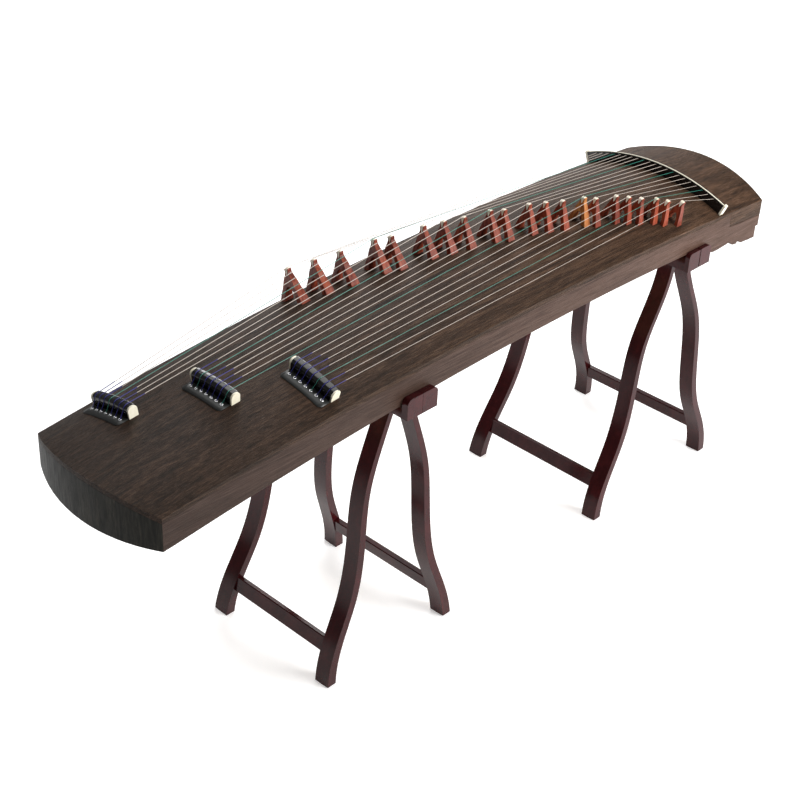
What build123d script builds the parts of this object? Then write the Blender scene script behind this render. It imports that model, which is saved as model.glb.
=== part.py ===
from build123d import *
import math
import os

# A 21-string guzheng lying across two folding A-frame stands, in millimetres.
# X runs from the tail (-X) to the head (+X), the player sits at -Y and +Z is up.
# The origin is on the floor, at the middle of the bounding box.

# --- Soundbox: driving dimensions ---
HALF_LENGTH = 815.0         # half of the standard 1630 mm overall length
TAIL_CORNER_X = -777.0      # where the straight sides meet the curved tail end
HEAD_CORNER_X = 786.5       # where the straight sides meet the curved head end
TAIL_HALF_WIDTH = 153.7     # half width at the tail corner
HEAD_HALF_WIDTH = 173.5     # half width at the head corner
ARCH_RADIUS = 430.0         # crosswise arch of the soundboard
CAMBER_RADIUS = 8700.0      # lengthwise camber of the whole box
CREST_X = 200.0             # where the camber is highest
CREST_Z = 644.6             # height of that highest point above the floor
BODY_DEPTH = 89.5           # from the crown of the soundboard to the underside
BOARD_THICKNESS = 9.0
BOTTOM_THICKNESS = 7.5
RAIL_THICKNESS = 12.0
TAIL_PANEL_THICKNESS = 14.0
HEAD_PANEL_THICKNESS = 24.0
CAMBER_CENTRE_Z = CREST_Z - CAMBER_RADIUS

# --- Head: lid, pin box and skirt ---
LID_FRONT_X = 676.0         # crosswise seam between soundboard and lid
LID_DEPTH = 30.0            # how far the lid's sides hang down
LID_THICKNESS = 8.0
LID_WALL = 9.0
LID_SEAM = 0.8              # shadow gap all round the lid
SEAM = 0.3                  # clearance between parts that move against each other
HEAD_STEP_DEPTH = 94.0      # the end face steps in below this depth
HEAD_STEP = 8.0             # by this much
SKIRT_START_X = 606.0       # where the carved skirt under the head begins
SKIRT_LOBE = (646.0, 521.5)         # lowest point of the first, round lobe
SKIRT_LEDGE = (688.0, 525.0)        # end of the lobe's ledge
SKIRT_TOOTH_1 = (712.0, 512.5)      # tip of the first scallop
SKIRT_NOTCH = (719.0, 518.5)        # notch between the scallops
SKIRT_TOOTH_2 = (736.0, 508.5)      # tip of the second scallop
SKIRT_END_Z = 501.0

# --- Pin block, braces and sound holes ---
PLANK_DEPTH = 34.0          # depth of the pin plank's top below the surface
PLANK_BOTTOM = 60.0
BULKHEAD_X = 640.0          # front of the solid wood under the head nut
BRACE_XS = (-330.0, -40.0, 250.0, 520.0)
BRACE_THICKNESS = 16.0
BRACE_RIB = 24.0            # height of wood kept above each brace's window
BRACE_SILL = 14.0           # height of wood kept below it
BRACE_POST = 26.0           # width of wood kept at each side
TAIL_BLOCK_LENGTH = 30.0
SOUND_HOLES = ((-520.0, 150.0), (400.0, 130.0))     # centre X, length
SOUND_HOLE_WIDTH = 84.0
PLANK_SEAM = 0.05

# --- Strings ---
STRING_COUNT = 21
STRINGS_PER_NUT = 7
TAIL_PITCH = 12.3           # between strings on one tail nut
HEAD_PITCH = 14.1           # between strings at the head nut
LOW_STRING_RADIUS = 0.60
HIGH_STRING_RADIUS = 0.34
CHANNEL_RADIUS = 1.6        # holes that the strings run through
STRING_GAP = 0.15           # air under a string where it bends over a nut or a bridge

# --- Nuts, plates and bone trim ---
TAIL_NUT_XS = (-672.0, -541.0, -410.0)
TAIL_NUT_YS = (90.0, 0.0, -90.0)
TAIL_NUT_WIDTH = 18.0
TAIL_NUT_HEIGHT = 20.0
TAIL_NUT_LENGTH = 92.0
TAIL_NUT_ROUND = 9.0
TAIL_CAP = 3.5
PLATE_LENGTH = 24.0         # along X
PLATE_THICKNESS = 1.2
EYELET_OFFSET = -19.0       # eyelet row, from the middle of its nut
EYELET_RADIUS = 3.2
EYELET_HEIGHT = 1.6
HEAD_NUT_X = 643.0
HEAD_NUT_WIDTH = 9.0
HEAD_NUT_HEIGHT = 22.0
HEAD_NUT_HALF_SPAN = 164.0
HEAD_CAP = 4.5
HEAD_CAP_WIDTH = 11.0
BONE_STRIP_WIDTH = 2.6
BONE_STRIP_HEIGHT = 1.2
BONE_STRIP_INSET = 0.8      # from the nut's tail-side face
STRING_HOLE_HEIGHT = 19.2   # where the strings enter the head nut
STRING_HOLE_LENGTH = 6.0

# --- Bridges ---
FIRST_BRIDGE_X = -250.0
OCTAVE_STEPS = (48.0, 49.0, 70.0, 28.0, 68.0)   # bridge spacing over the lowest octave
OCTAVE_SHRINK = (1.0, 0.79, 0.66, 0.44)         # the same steps in the next octaves
SMALLEST_STEP = 18.0
FIRST_BRIDGE_Y = 125.0
BRIDGE_PITCH = 13.1
TALLEST_BRIDGE = 62.0
BRIDGE_DROP = 0.62          # each bridge is this much lower than the last
WIDEST_FOOT = 30.0          # half width across the feet of the tallest bridge
FOOT_SHRINK = 0.62          # each bridge's feet reach this much less than the last's
ARCH_SHARE = 0.52           # half width of the arch between the feet, as a share of that reach
THICKEST_FOOT = 19.5
THICKNESS_SHRINK = 0.22     # each bridge is this much thinner at the feet than the last
BRIDGE_TOP_THICKNESS = 7.6
CROWN_HALF = 5.0            # half width of a bridge just under its top
SHOULDER_DROP = 2.6         # height of the slope beside the bone
BONE_CAP_WIDTH = 7.6
BONE_CAP_DEPTH = 12.0
CREST_HALF = 0.4            # half width of the flat on a bridge's crest
CREST_FALL = 1.2            # drop from that flat to the bridge's faces
FOOT_GAP = 0.3

# --- Tuning pins ---
PIN_RADIUS = 3.2
PIN_CLEARANCE = 0.05
PIN_ROWS = (702.0, 727.0, 752.0)
PIN_TOP = 22.0              # depth of the round shank's top below the surface
PIN_HEAD_TOP = 13.0
PIN_HEAD_SIZE = 4.6
PIN_TIP = 54.0
PLANK_END_X = 766.0
STRING_PIN_DEPTH = 26.0     # depth at which the strings reach the pins

# --- Stands ---
RAIL_WIDTH = 37.0           # of one frame's top rail, along X
STOP_HEIGHT = 40.0          # from the rail's underside to the top of its end stops
STOP_ROUND = 10.0           # outer edge of the end stops
RAIL_ROUND = 20.0           # outer edge between them, so that the fold clears the skirt
STOP_GAP = 0.8              # between the stops and the soundbox's sides
LEG_DEPTH = 33.0            # along Y
LEG_FOOT_WIDTH = 20.0
LEG_TOP_WIDTH = 12.5
LEG_SPARE = 1.01            # legs start this much overlong, then both ends are cut flat
LEG_RISES = (0.0, 0.14, 0.29, 0.48, 0.70, 0.86)     # shares of a leg's height, see "bends"
REST_GAP = 0.3              # between rail tops and the soundbox
STRETCHER_HEIGHT = 30.0
STRETCHER_WIDTH = 12.0
HINGE_DROP = 4.5            # hinge pin below the rails' underside
KNUCKLE_RADIUS = 4.0
HINGE_PIN_RADIUS = 2.0
KNUCKLE_LENGTH = 12.0
LEAF_THICKNESS = 1.6
LEAF_WIDTH = 17.0
HINGE_YS = (-58.0, 58.0)

# x: hinge, z: underside of the rails, half: half length of the rails, seam: gap between them.
# Then, for the tailward and the headward frame: reach of the feet from the hinge, offset of the
# legs' tops from it, half spread at the floor and at the rails, height of the stretcher, and the
# S-curve of the legs, as shares of the reach at the heights in LEG_RISES above the floor.
TAIL_STAND = dict(
    name="tail_stand", x=-236.6, z=517.0, half=174.9, seam=0.6,
    reach=(-178.4, 118.5), top=(-8.5, 22.0), foot_y=(154.0, 162.5), top_y=(121.0, 123.0),
    stretcher_z=(66.0, 63.5),
    bends=((0.89, 0.68, 0.54, 0.44, 0.25), (0.87, 0.65, 0.56, 0.53, 0.36)),
)
HEAD_STAND = dict(
    name="head_stand", x=564.2, z=513.4, half=181.5, seam=2.6,
    reach=(-229.5, 144.7), top=(-28.0, 8.5), foot_y=(174.0, 175.5), top_y=(143.5, 149.0),
    stretcher_z=(71.0, 69.5),
    bends=((0.905, 0.72, 0.585, 0.46, 0.245), (0.91, 0.67, 0.57, 0.47, 0.23)),
)


# --- Shared geometry of the arched surface ---
def camber_angle(x, depth=0.0):
    """Slope of the soundbox at x, in degrees, positive where it still rises toward the head."""
    return math.degrees(math.asin((CREST_X - x) / (CAMBER_RADIUS - depth)))


def ridge_z(x, depth=0.0):
    """Height of the crown line at x, or of the line that lies depth under it."""
    return CAMBER_CENTRE_Z + math.sqrt((CAMBER_RADIUS - depth) ** 2 - (x - CREST_X) ** 2)


def on_ridge(x):
    """Frame on the crown line: its X follows the camber, its Z leaves the wood."""
    return Location((x, 0, ridge_z(x)), (0, -camber_angle(x), 0))


def on_board(x, y, height=0.0):
    """Frame on the arched surface at x, y, raised by height along the surface normal."""
    tilt = math.degrees(math.asin(y / ARCH_RADIUS))
    swing = Location((0, 0, -ARCH_RADIUS)) * Location((0, 0, 0), (-tilt, 0, 0))
    return on_ridge(x) * swing * Location((0, 0, ARCH_RADIUS + height))


def surface_point(x, y, height=0.0):
    return on_board(x, y, height).position


def half_width(x):
    share = (x - TAIL_CORNER_X) / (HEAD_CORNER_X - TAIL_CORNER_X)
    return TAIL_HALF_WIDTH + share * (HEAD_HALF_WIDTH - TAIL_HALF_WIDTH)


def revolve_camber(face):
    """Sweep a crosswise section, drawn at the crest, over the length of the camber."""
    axis = Axis((CREST_X, 0, CAMBER_CENTRE_Z), (0, 1, 0))
    start = -7.0
    sweep = 11.4
    return revolve(face.rotate(axis, start), axis, sweep)


def crest_plane():
    return Plane(origin=(CREST_X, 0, CREST_Z), x_dir=(0, 1, 0), z_dir=(1, 0, 0))


def arc_at(depth, reach):
    """Crosswise arc that lies depth under the surface and ends at y = -reach and +reach."""
    radius = ARCH_RADIUS - depth
    end = -ARCH_RADIUS + math.sqrt(radius**2 - reach**2)
    return ThreePointArc((-reach, end), (0, -depth), (reach, end))


def closed_section(upper, lower):
    """Face between two curves that run the same way, with straight sides."""
    sides = [Line(upper @ 0, lower @ 0), Line(upper @ 1, lower @ 1)]
    return make_face([crest_plane() * e for e in [upper, lower] + sides])


def band(top, bottom, reach=200.0):
    """Arched shell between two depths under the surface."""
    return revolve_camber(closed_section(arc_at(top, reach), arc_at(bottom, reach)))


def arch_to_flat(top, bottom, reach=200.0):
    """Solid with an arched top and a flat underside."""
    floor = Line((-reach, -bottom), (reach, -bottom))
    return revolve_camber(closed_section(arc_at(top, reach), floor))


def flat_band(top, bottom, reach=200.0):
    upper = Line((-reach, -top), (reach, -top))
    lower = Line((-reach, -bottom), (reach, -bottom))
    return revolve_camber(closed_section(upper, lower))


def plan_prism(side=0.0, tail=0.0, head=0.0):
    """Tapered outline with bowed ends, cut back at the sides, tail and head, as a tall prism."""
    x0 = TAIL_CORNER_X + tail
    x1 = HEAD_CORNER_X - head
    y0 = half_width(x0) - side
    y1 = half_width(x1) - side
    edges = [
        ThreePointArc((x0, y0), (-HALF_LENGTH + tail, 0), (x0, -y0)),
        Line((x0, -y0), (x1, -y1)),
        ThreePointArc((x1, -y1), (HALF_LENGTH - head, 0), (x1, y1)),
        Line((x1, y1), (x0, y0)),
    ]
    return Pos(0, 0, 350) * extrude(make_face(edges), 400)


def slab(x0, x1, y_reach=220.0, z0=300.0, z1=900.0):
    """Plain block between two X stations, wider than the soundbox."""
    size = (x1 - x0, 2 * y_reach, z1 - z0)
    return Pos((x0 + x1) / 2, 0, (z0 + z1) / 2) * Box(*size)


def side_view_prism():
    """Everything above the underside: the camber's arc, then the carved skirt of the head."""
    tail_x = -830.0
    tail = (tail_x, ridge_z(tail_x, BODY_DEPTH))
    middle = (-100.0, ridge_z(-100.0, BODY_DEPTH))
    start = (SKIRT_START_X, ridge_z(SKIRT_START_X, BODY_DEPTH))
    end = (830.0, SKIRT_END_Z)
    edges = [
        ThreePointArc(tail, middle, start),
        Spline(start, SKIRT_LOBE, SKIRT_LEDGE, tangents=[(0, -1), (1, 0.12)]),
        Spline(SKIRT_LEDGE, SKIRT_TOOTH_1, tangents=[(0.3, -1), (1, 0)]),
        Line(SKIRT_TOOTH_1, SKIRT_NOTCH),
        Spline(SKIRT_NOTCH, SKIRT_TOOTH_2, tangents=[(0.3, -1), (1, -0.05)]),
        Line(SKIRT_TOOTH_2, end),
        Line(end, (830.0, 800.0)),
        Line((830.0, 800.0), (tail_x, 800.0)),
        Line((tail_x, 800.0), tail),
    ]
    face = make_face([Plane.XZ * e for e in edges])
    return extrude(face, 400, both=True)


def only_solids(shape):
    return list(shape.solids())


# --- Strings: stations shared by nuts, plates, bridges and pins ---
def bridge_stations():
    """X of each bridge: the scale's steps, shrinking from octave to octave."""
    xs = [FIRST_BRIDGE_X]
    for shrink in OCTAVE_SHRINK:
        for step in OCTAVE_STEPS:
            xs.append(xs[-1] + max(SMALLEST_STEP, step * shrink))
    return xs[:STRING_COUNT]


BRIDGE_XS = bridge_stations()


def bridge_y(i):
    return FIRST_BRIDGE_Y - BRIDGE_PITCH * i


def bridge_height(i):
    return TALLEST_BRIDGE - BRIDGE_DROP * i


def bridge_foot(i):
    return WIDEST_FOOT - FOOT_SHRINK * i


def bridge_thickness(i):
    return THICKEST_FOOT - THICKNESS_SHRINK * i


def tail_station(i):
    """X of the tail nut and Y of the string on it."""
    nut = i // STRINGS_PER_NUT
    place = i % STRINGS_PER_NUT - (STRINGS_PER_NUT - 1) / 2
    return TAIL_NUT_XS[nut], TAIL_NUT_YS[nut] - TAIL_PITCH * place


def head_y(i):
    return HEAD_PITCH * ((STRING_COUNT - 1) / 2 - i)


def pin_station(i):
    return PIN_ROWS[i % len(PIN_ROWS)], head_y(i)


def string_radius(i):
    share = i / (STRING_COUNT - 1)
    return LOW_STRING_RADIUS + share * (HIGH_STRING_RADIUS - LOW_STRING_RADIUS)


def nut_hole(i):
    """Points on the slanting hole where string i goes into the head nut."""
    front = HEAD_NUT_X - HEAD_NUT_WIDTH / 2
    y = head_y(i)
    mouth = surface_point(front - 0.6, y, STRING_HOLE_HEIGHT)
    bottom = surface_point(front + STRING_HOLE_LENGTH, y, STRING_HOLE_HEIGHT - STRING_HOLE_LENGTH)
    return mouth, bottom


def pin_run(i):
    """Points of string i from the bulkhead's rear face to the side of its tuning pin."""
    r = string_radius(i)
    pin_x, y = pin_station(i)
    side = y + PIN_RADIUS + r + SEAM
    return [
        surface_point(LID_FRONT_X - LID_SEAM + 0.4, y, -STRING_PIN_DEPTH),
        surface_point(pin_x, side, -STRING_PIN_DEPTH),
    ]


def string_route(i):
    """Points of string i from its eyelet, over tail nut and bridge, into the head nut."""
    r = string_radius(i)
    nut_x, y = tail_station(i)
    eyelet_x = nut_x + EYELET_OFFSET
    round_x = nut_x - TAIL_NUT_WIDTH / 2 + TAIL_NUT_ROUND
    round_h = TAIL_NUT_HEIGHT - TAIL_NUT_ROUND
    bend = math.radians(21.0)
    reach = (TAIL_NUT_ROUND + r + STRING_GAP) / math.cos(bend / 2)
    over = []
    for step in range(5):
        turn = math.radians(172.0) - step * bend
        over.append(surface_point(round_x + reach * math.cos(turn), y, round_h + reach * math.sin(turn)))
    rest = surface_point(BRIDGE_XS[i], bridge_y(i), bridge_height(i) + r + STRING_GAP)
    start = surface_point(eyelet_x, y, 0.15)
    mouth = surface_point(eyelet_x, y, EYELET_HEIGHT + 0.4)
    return [start, mouth] + over + [rest] + list(nut_hole(i))


def rod(points, radius):
    """Round rod along straight runs, mitred at every bend."""
    path = Wire([Edge.make_line(a, b) for a, b in zip(points[:-1], points[1:])])
    section = Plane(origin=points[0], z_dir=points[1] - points[0]) * Circle(radius)
    return sweep(section, path=path, transition=Transition.RIGHT)


def nut_holes():
    cuts = []
    for i in range(STRING_COUNT):
        mouth, bottom = nut_hole(i)
        direction = (bottom - mouth).normalized()
        cuts.append(rod([mouth - direction * 3, bottom + direction], CHANNEL_RADIUS))
    return cuts


# --- Soundbox parts ---
def wooden_box():
    """Whole box under the soundboard, cut back below the lid."""
    body = arch_to_flat(BOARD_THICKNESS, 160.0) & side_view_prism()
    under_lid = band(0.0, LID_DEPTH + LID_SEAM) & slab(LID_FRONT_X - LID_SEAM, 860.0)
    return body - under_lid


def make_soundboard():
    return band(0.0, BOARD_THICKNESS) & plan_prism() & slab(-860.0, LID_FRONT_X - LID_SEAM)


def ring_prism():
    inner = plan_prism(RAIL_THICKNESS, TAIL_PANEL_THICKNESS, HEAD_PANEL_THICKNESS)
    return plan_prism() - inner


def make_side_rails(box):
    walls = box & ring_prism()
    x0 = TAIL_CORNER_X + TAIL_PANEL_THICKNESS
    x1 = HEAD_CORNER_X - HEAD_PANEL_THICKNESS
    return walls & slab(x0, x1)


def make_end_panels(box):
    walls = box & ring_prism()
    tail = walls & slab(-860.0, TAIL_CORNER_X + TAIL_PANEL_THICKNESS)
    head = walls & slab(HEAD_CORNER_X - HEAD_PANEL_THICKNESS, 860.0)
    kept = Pos(-HEAD_STEP, 0, 0) * plan_prism(-0.5)
    recess = (slab(700.0, 860.0) - kept) & flat_band(HEAD_STEP_DEPTH, 170.0)
    return only_solids(tail) + only_solids(head - recess)


def make_bottom_board():
    """Two long outer planks, and middle planks that end at the sound holes."""
    inner = plan_prism(RAIL_THICKNESS, TAIL_PANEL_THICKNESS, HEAD_PANEL_THICKNESS)
    board = flat_band(BODY_DEPTH - BOTTOM_THICKNESS, BODY_DEPTH) & inner
    half = SOUND_HOLE_WIDTH / 2
    planks = only_solids(board - slab(-860.0, 860.0, half))
    start = -860.0
    ends = [(x - length / 2, x + length / 2) for x, length in SOUND_HOLES] + [(860.0, 860.0)]
    for end, next_start in ends:
        planks += only_solids(board & slab(start, end, half - PLANK_SEAM))
        start = next_start
    return planks


def make_brace(x, inside):
    blank = arch_to_flat(BOARD_THICKNESS, BODY_DEPTH - BOTTOM_THICKNESS)
    blank = blank & inside & slab(x - BRACE_THICKNESS / 2, x + BRACE_THICKNESS / 2)
    reach = half_width(x) - RAIL_THICKNESS - BRACE_POST
    window_top = BOARD_THICKNESS + BRACE_RIB
    window_bottom = BODY_DEPTH - BOTTOM_THICKNESS - BRACE_SILL
    window = arch_to_flat(window_top, window_bottom, reach) & slab(x - 20, x + 20)
    return blank - window


def make_inner_frame():
    """Four braces, the tail block and the pin block, all inside the box."""
    inside = plan_prism(RAIL_THICKNESS, TAIL_PANEL_THICKNESS, HEAD_PANEL_THICKNESS)
    parts = [make_brace(x, inside) for x in BRACE_XS]
    full = arch_to_flat(BOARD_THICKNESS, BODY_DEPTH - BOTTOM_THICKNESS) & inside
    parts.append(full & slab(-860.0, TAIL_CORNER_X + TAIL_PANEL_THICKNESS + TAIL_BLOCK_LENGTH))
    parts.extend(make_pin_block(inside))
    return [s for p in parts for s in only_solids(p)]


def make_pin_block(inside):
    """Solid wood under the head nut, stepping down to the plank that holds the tuning pins."""
    rear = LID_FRONT_X - LID_SEAM
    front_length = rear - BULKHEAD_X
    plank_length = PLANK_END_X - rear
    reach = 2 * (HEAD_HALF_WIDTH - RAIL_THICKNESS) + 20
    bulkhead = arched_bar(
        BULKHEAD_X + front_length / 2, 0, reach, front_length, -PLANK_BOTTOM, -BOARD_THICKNESS - 0.05
    )
    plank = arched_bar(rear + plank_length / 2, 0, reach, plank_length, -PLANK_BOTTOM, -PLANK_DEPTH)
    floor = ridge_z(BULKHEAD_X, BODY_DEPTH - BOTTOM_THICKNESS) + SEAM
    inside = inside & slab(BULKHEAD_X - 10, 860.0, z0=floor)
    holes = []
    for i in range(STRING_COUNT):
        x, y = pin_station(i)
        depth = (PLANK_DEPTH + PLANK_BOTTOM) / 2
        holes.append(on_board(x, y, -depth) * Cylinder(PIN_RADIUS + PIN_CLEARANCE, 40))
    return ((bulkhead & inside), (plank & inside) - holes)


def make_lid():
    shell = band(0.0, LID_DEPTH) & plan_prism() & slab(LID_FRONT_X, 860.0)
    hollow = band(LID_THICKNESS, LID_DEPTH + 20) & plan_prism(LID_WALL, 0.0, LID_WALL)
    hollow = hollow & slab(LID_FRONT_X - 5, 860.0)
    return shell - hollow


# --- Nuts, plates and trim ---
def arched_bar(x, y, length, width, low, high):
    """Bar along Y that follows the arch, centred on x, y, from height low to height high."""
    mid = math.asin(y / ARCH_RADIUS)
    span = math.asin(length / 2 / ARCH_RADIUS)
    inner = ARCH_RADIUS + low
    outer = ARCH_RADIUS + high

    def spot(radius, angle):
        return (radius * math.sin(angle), radius * math.cos(angle) - ARCH_RADIUS)

    a, b = mid - span, mid + span
    edges = [
        ThreePointArc(spot(inner, a), spot(inner, mid), spot(inner, b)),
        Line(spot(inner, b), spot(outer, b)),
        ThreePointArc(spot(outer, b), spot(outer, mid), spot(outer, a)),
        Line(spot(outer, a), spot(inner, a)),
    ]
    plane = Plane(origin=(-width / 2, 0, 0), x_dir=(0, 1, 0), z_dir=(1, 0, 0))
    return on_ridge(x) * extrude(make_face([plane * e for e in edges]), width)


def rounded_bar(x, y, length, width, low, high, tail_round, head_round):
    bar = arched_bar(x, y, length, width, low, high)
    top = surface_point(x, y, high)
    long_edges = bar.edges().filter_by(lambda e: e.length > length * 0.8)
    upper = sorted(long_edges, key=lambda e: (e.center() - top).length)[:2]
    upper = sorted(upper, key=lambda e: e.center().X)
    bar = fillet(upper[0], tail_round)
    top_edges = sorted(
        bar.edges().filter_by(lambda e: e.length > length * 0.8),
        key=lambda e: -(e.center() - surface_point(x, y, 0)).length,
    )
    head_edge = sorted(top_edges[:3], key=lambda e: -e.center().X)[0]
    return fillet(head_edge, head_round)


def end_cap(x, y, sign, bar_length, width, height, thickness, round_radius):
    """Bone plate on the end of a nut, standing square to the arch."""
    edge = math.sin(math.asin(y / ARCH_RADIUS) + sign * math.asin(bar_length / 2 / ARCH_RADIUS))
    place = on_board(x, edge * ARCH_RADIUS)
    plate = Box(width, thickness, height, align=(Align.CENTER, Align.CENTER, Align.MIN))
    upper = plate.edges().filter_by(Axis.Y).sort_by(Axis.Z)[-2:]
    plate = fillet(upper, round_radius)
    return place * Pos(0, sign * (thickness / 2 + 0.02), 0.3) * plate


def make_nuts():
    bars = []
    width, height = TAIL_NUT_WIDTH, TAIL_NUT_HEIGHT
    for x, y in zip(TAIL_NUT_XS, TAIL_NUT_YS):
        bars.append(rounded_bar(x, y, TAIL_NUT_LENGTH, width, 0.05, height, TAIL_NUT_ROUND - 0.1, 3.0))
    width, height = HEAD_NUT_WIDTH, HEAD_NUT_HEIGHT
    head = rounded_bar(HEAD_NUT_X, 0, 2 * HEAD_NUT_HALF_SPAN, width, 0.05, height, 0.6, 2.5)
    bars.append(head - nut_holes())
    return [s for b in bars for s in only_solids(b)]


def make_bone_trim():
    strip_x = HEAD_NUT_X - HEAD_NUT_WIDTH / 2 + BONE_STRIP_WIDTH / 2 + BONE_STRIP_INSET
    span = 2 * HEAD_NUT_HALF_SPAN
    foot = HEAD_NUT_HEIGHT + 0.02
    top = HEAD_NUT_HEIGHT + BONE_STRIP_HEIGHT
    trim = [arched_bar(strip_x, 0, span, BONE_STRIP_WIDTH, foot, top)]
    width, height = TAIL_NUT_WIDTH, TAIL_NUT_HEIGHT
    for sign in (-1, 1):
        trim.append(end_cap(HEAD_NUT_X, 0, sign, span, HEAD_CAP_WIDTH, top + 1.5, HEAD_CAP, 4.0))
        for x, y in zip(TAIL_NUT_XS, TAIL_NUT_YS):
            trim.append(end_cap(x, y, sign, TAIL_NUT_LENGTH, width, height, TAIL_CAP, 7.5))
    return [s for t in trim for s in only_solids(t)]


def make_anchor_plates():
    """Thin metal plates behind the tail nuts, with an eyelet for each string."""
    pieces = []
    gap = TAIL_NUT_WIDTH / 2 + 0.6
    for x, y in zip(TAIL_NUT_XS, TAIL_NUT_YS):
        middle = x - gap - PLATE_LENGTH / 2
        plate = arched_bar(middle, y, TAIL_NUT_LENGTH + 2, PLATE_LENGTH, 0.05, PLATE_THICKNESS)
        corners = plate.edges().filter_by(lambda e: e.length < 2 * PLATE_THICKNESS)
        plate = fillet(corners.sort_by(Axis.X)[:2], 5.0)
        pieces.append(plate - eyelet_seats(EYELET_RADIUS - 0.6))
    for i in range(STRING_COUNT):
        nut_x, y = tail_station(i)
        place = on_board(nut_x + EYELET_OFFSET, y, PLATE_THICKNESS + 0.02)
        ring = Cylinder(EYELET_RADIUS, EYELET_HEIGHT - PLATE_THICKNESS + 0.6)
        ring = fillet(ring.edges().sort_by(Axis.Z)[-1], 0.4)
        ring = Pos(0, 0, (EYELET_HEIGHT - PLATE_THICKNESS + 0.6) / 2) * ring
        pieces.append(place * (ring - Cylinder(CHANNEL_RADIUS, 10)))
    return [s for p in pieces for s in only_solids(p)]


def eyelet_seats(radius):
    seats = []
    for i in range(STRING_COUNT):
        nut_x, y = tail_station(i)
        seats.append(on_board(nut_x + EYELET_OFFSET, y) * Cylinder(radius, 8))
    return seats


def make_strings():
    strings = []
    for i in range(STRING_COUNT):
        strings.append(rod(string_route(i), string_radius(i)).solid())
        strings.append(rod(pin_run(i), string_radius(i)).solid())
    return strings


# --- Bridges ---
def bridge_side(height, foot):
    """Half outline of a bridge from its top down to its outer foot, then up the inner arch."""
    inner = foot * ARCH_SHARE
    arch_top = (0, height * 0.46)
    crown = BONE_CAP_WIDTH / 2 + 0.4
    return [
        Line((0, height), (crown, height)),
        Line((crown, height), (CROWN_HALF, height - SHOULDER_DROP)),
        Spline(
            (CROWN_HALF, height - SHOULDER_DROP),
            (CROWN_HALF - 0.6, height * 0.84),
            (3.5 + 0.28 * foot, height * 0.62),
            (3.5 + 0.42 * foot, height * 0.44),
            (foot, -3.0),
            tangents=[(0, -1), (0.45, -1)],
        ),
        Line((foot, -3.0), (inner, -3.0)),
        Spline((inner, -3.0), (inner * 0.8, height * 0.22), arch_top, tangents=[(-0.1, 1), (-1, 0)]),
    ]


def make_bridge(i):
    """One movable bridge: an arched two-footed post and the bone wedge in its top."""
    height = bridge_height(i)
    half = bridge_side(height, bridge_foot(i))
    face = make_face([Plane.YZ * e for e in half] + [Plane.YZ * Line((0, height * 0.46), (0, height))])
    side = bridge_thickness(i) / 2
    beyond = side + 5
    post = extrude(face, side, both=True)
    post = post + post.mirror(Plane.XZ)
    for sign in (-1, 1):
        flank = Plane.XZ * Polyline(
            (sign * side, 0),
            (sign * beyond, 0),
            (sign * beyond, height + 5),
            (sign * CREST_HALF, height + 5),
            (sign * CREST_HALF, height),
            (sign * BRIDGE_TOP_THICKNESS / 2, height - CREST_FALL),
            close=True,
        )
        post -= extrude(make_face(flank), 40, both=True)
    wedge = Plane.YZ * Polyline(
        (-BONE_CAP_WIDTH / 2, height + 1),
        (BONE_CAP_WIDTH / 2, height + 1),
        (0.8, height - BONE_CAP_DEPTH),
        (-0.8, height - BONE_CAP_DEPTH),
        close=True,
    )
    notch = extrude(make_face(wedge), 20, both=True)
    cap = post & notch
    board = Pos(0, 0, -ARCH_RADIUS) * Rot(0, 90, 0) * Cylinder(ARCH_RADIUS + FOOT_GAP, 60)
    post = post - notch - board
    place = on_board(BRIDGE_XS[i], bridge_y(i))
    return [place * s for s in only_solids(post) + only_solids(cap)]


# --- Tuning pins ---
def make_tuning_pin(i):
    x, y = pin_station(i)
    shank = Pos(0, 0, -(PIN_TOP + PIN_TIP) / 2) * Cylinder(PIN_RADIUS, PIN_TIP - PIN_TOP)
    head_height = PIN_TOP - PIN_HEAD_TOP
    head = Pos(0, 0, -(PIN_TOP + PIN_HEAD_TOP) / 2) * Box(PIN_HEAD_SIZE, PIN_HEAD_SIZE, head_height)
    head = chamfer(head.edges().sort_by(Axis.Z)[-4:], 0.7)
    return on_board(x, y) * (shank + head)


# --- Stands ---
def leg_centre(stand, side):
    """Centre line of a leg as (x, z) points from the floor to the rail."""
    shares = (1.0,) + stand["bends"][side]
    points = []
    for rise, share in zip(LEG_RISES, shares):
        points.append((stand["x"] + stand["reach"][side] * share, stand["z"] * rise))
    return points + [(stand["x"] + stand["top"][side], stand["z"])]


def leg_lean(stand, side):
    spread = stand["foot_y"][side] - stand["top_y"][side]
    return math.degrees(math.atan2(spread, stand["z"]))


def make_leg(stand, side, sign):
    """S-curved leg, tapered upward and leaning inward, cut flat at the floor and the rail."""
    centre = leg_centre(stand, side)
    height = stand["z"]

    def width(z):
        return LEG_TOP_WIDTH + (LEG_FOOT_WIDTH - LEG_TOP_WIDTH) * (1 - z / height) ** 1.5

    rear = [(x - width(z) / 2, z) for x, z in centre]
    front = [(x + width(z) / 2, z) for x, z in centre]
    edges = [
        Spline(*rear),
        Line(rear[-1], front[-1]),
        Spline(*reversed(front)),
        Line(front[0], rear[0]),
    ]
    lean = leg_lean(stand, side)
    face = make_face([Plane.XZ * e for e in edges])
    leg = extrude(face, LEG_DEPTH / 2, both=True)
    leg = Pos(0, 0, height / 2) * scale(Pos(0, 0, -height / 2) * leg, (1, 1, LEG_SPARE))
    leg = Rot(X=sign * lean) * leg
    foot_middle = stand["foot_y"][side] - LEG_DEPTH / 2
    leg = Pos(0, sign * foot_middle, 0) * leg
    block = Pos(stand["x"], 0, height / 2) * Box(800, 600, height)
    return leg & block


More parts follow.
